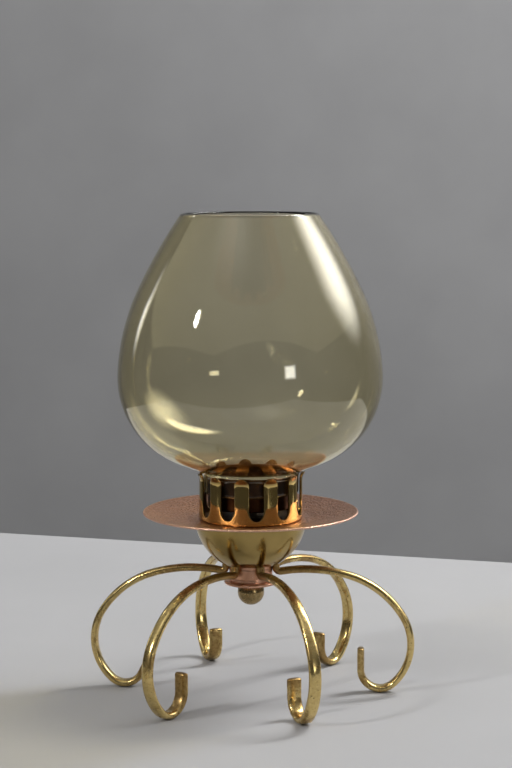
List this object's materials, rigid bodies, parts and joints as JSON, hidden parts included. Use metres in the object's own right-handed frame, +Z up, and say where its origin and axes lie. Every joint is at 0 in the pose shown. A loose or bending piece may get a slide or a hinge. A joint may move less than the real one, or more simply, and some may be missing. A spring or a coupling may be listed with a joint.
{
  "type": "candlestick",
  "caption": "Brass and copper table candlestick with a lift-off smoked glass shade in a slotted gallery, on a dished disc, bowl and curled legs",
  "frame": {"origin": "on the axis of the gallery, at the level of the table under the feet", "axes": "+Z up along the axis of the gallery, disc and shade; -Y is the front, the side the first view is from; +X to the viewer's right"},
  "size_m": [0.1517, 0.1433, 0.2225],
  "materials": {
    "smoked_glass": "clear smoke-tinted blown glass, fire-polished lip",
    "polished_brass": "mirror polished",
    "brushed_copper": "satin, finely brushed copper",
    "satin_brass": "spun, satin polished",
    "hub_copper": "turned copper with fine lathe lines",
    "leg_brass": "polished, with brown patina in places",
    "ball_brass": "aged brass",
    "dark_brass": "aged brown brass, sooted",
    "hardware_steel": "zinc plated"
  },
  "bodies": {
    "stand": {"gallery": "polished_brass", "copper_disc": "brushed_copper", "bowl": "satin_brass", "candle_cup": "dark_brass", "hub_sleeve": "hub_copper", "hub_flange": "hub_copper", "leg_1": "leg_brass", "leg_2": "leg_brass", "leg_3": "leg_brass", "leg_4": "leg_brass", "leg_5": "leg_brass", "leg_6": "leg_brass", "ball_nut": "ball_brass", "tie_rod": "hardware_steel", "washer": "hardware_steel", "top_nut": "hardware_steel"},
    "shade": {"glass_shade": "smoked_glass"}
  },
  "joints": [
    {"name": "shade_lift", "type": "slide", "parent": "stand", "child": "shade", "axis": [0, 0, 1], "range_m": [0, 0.04]}
  ]
}
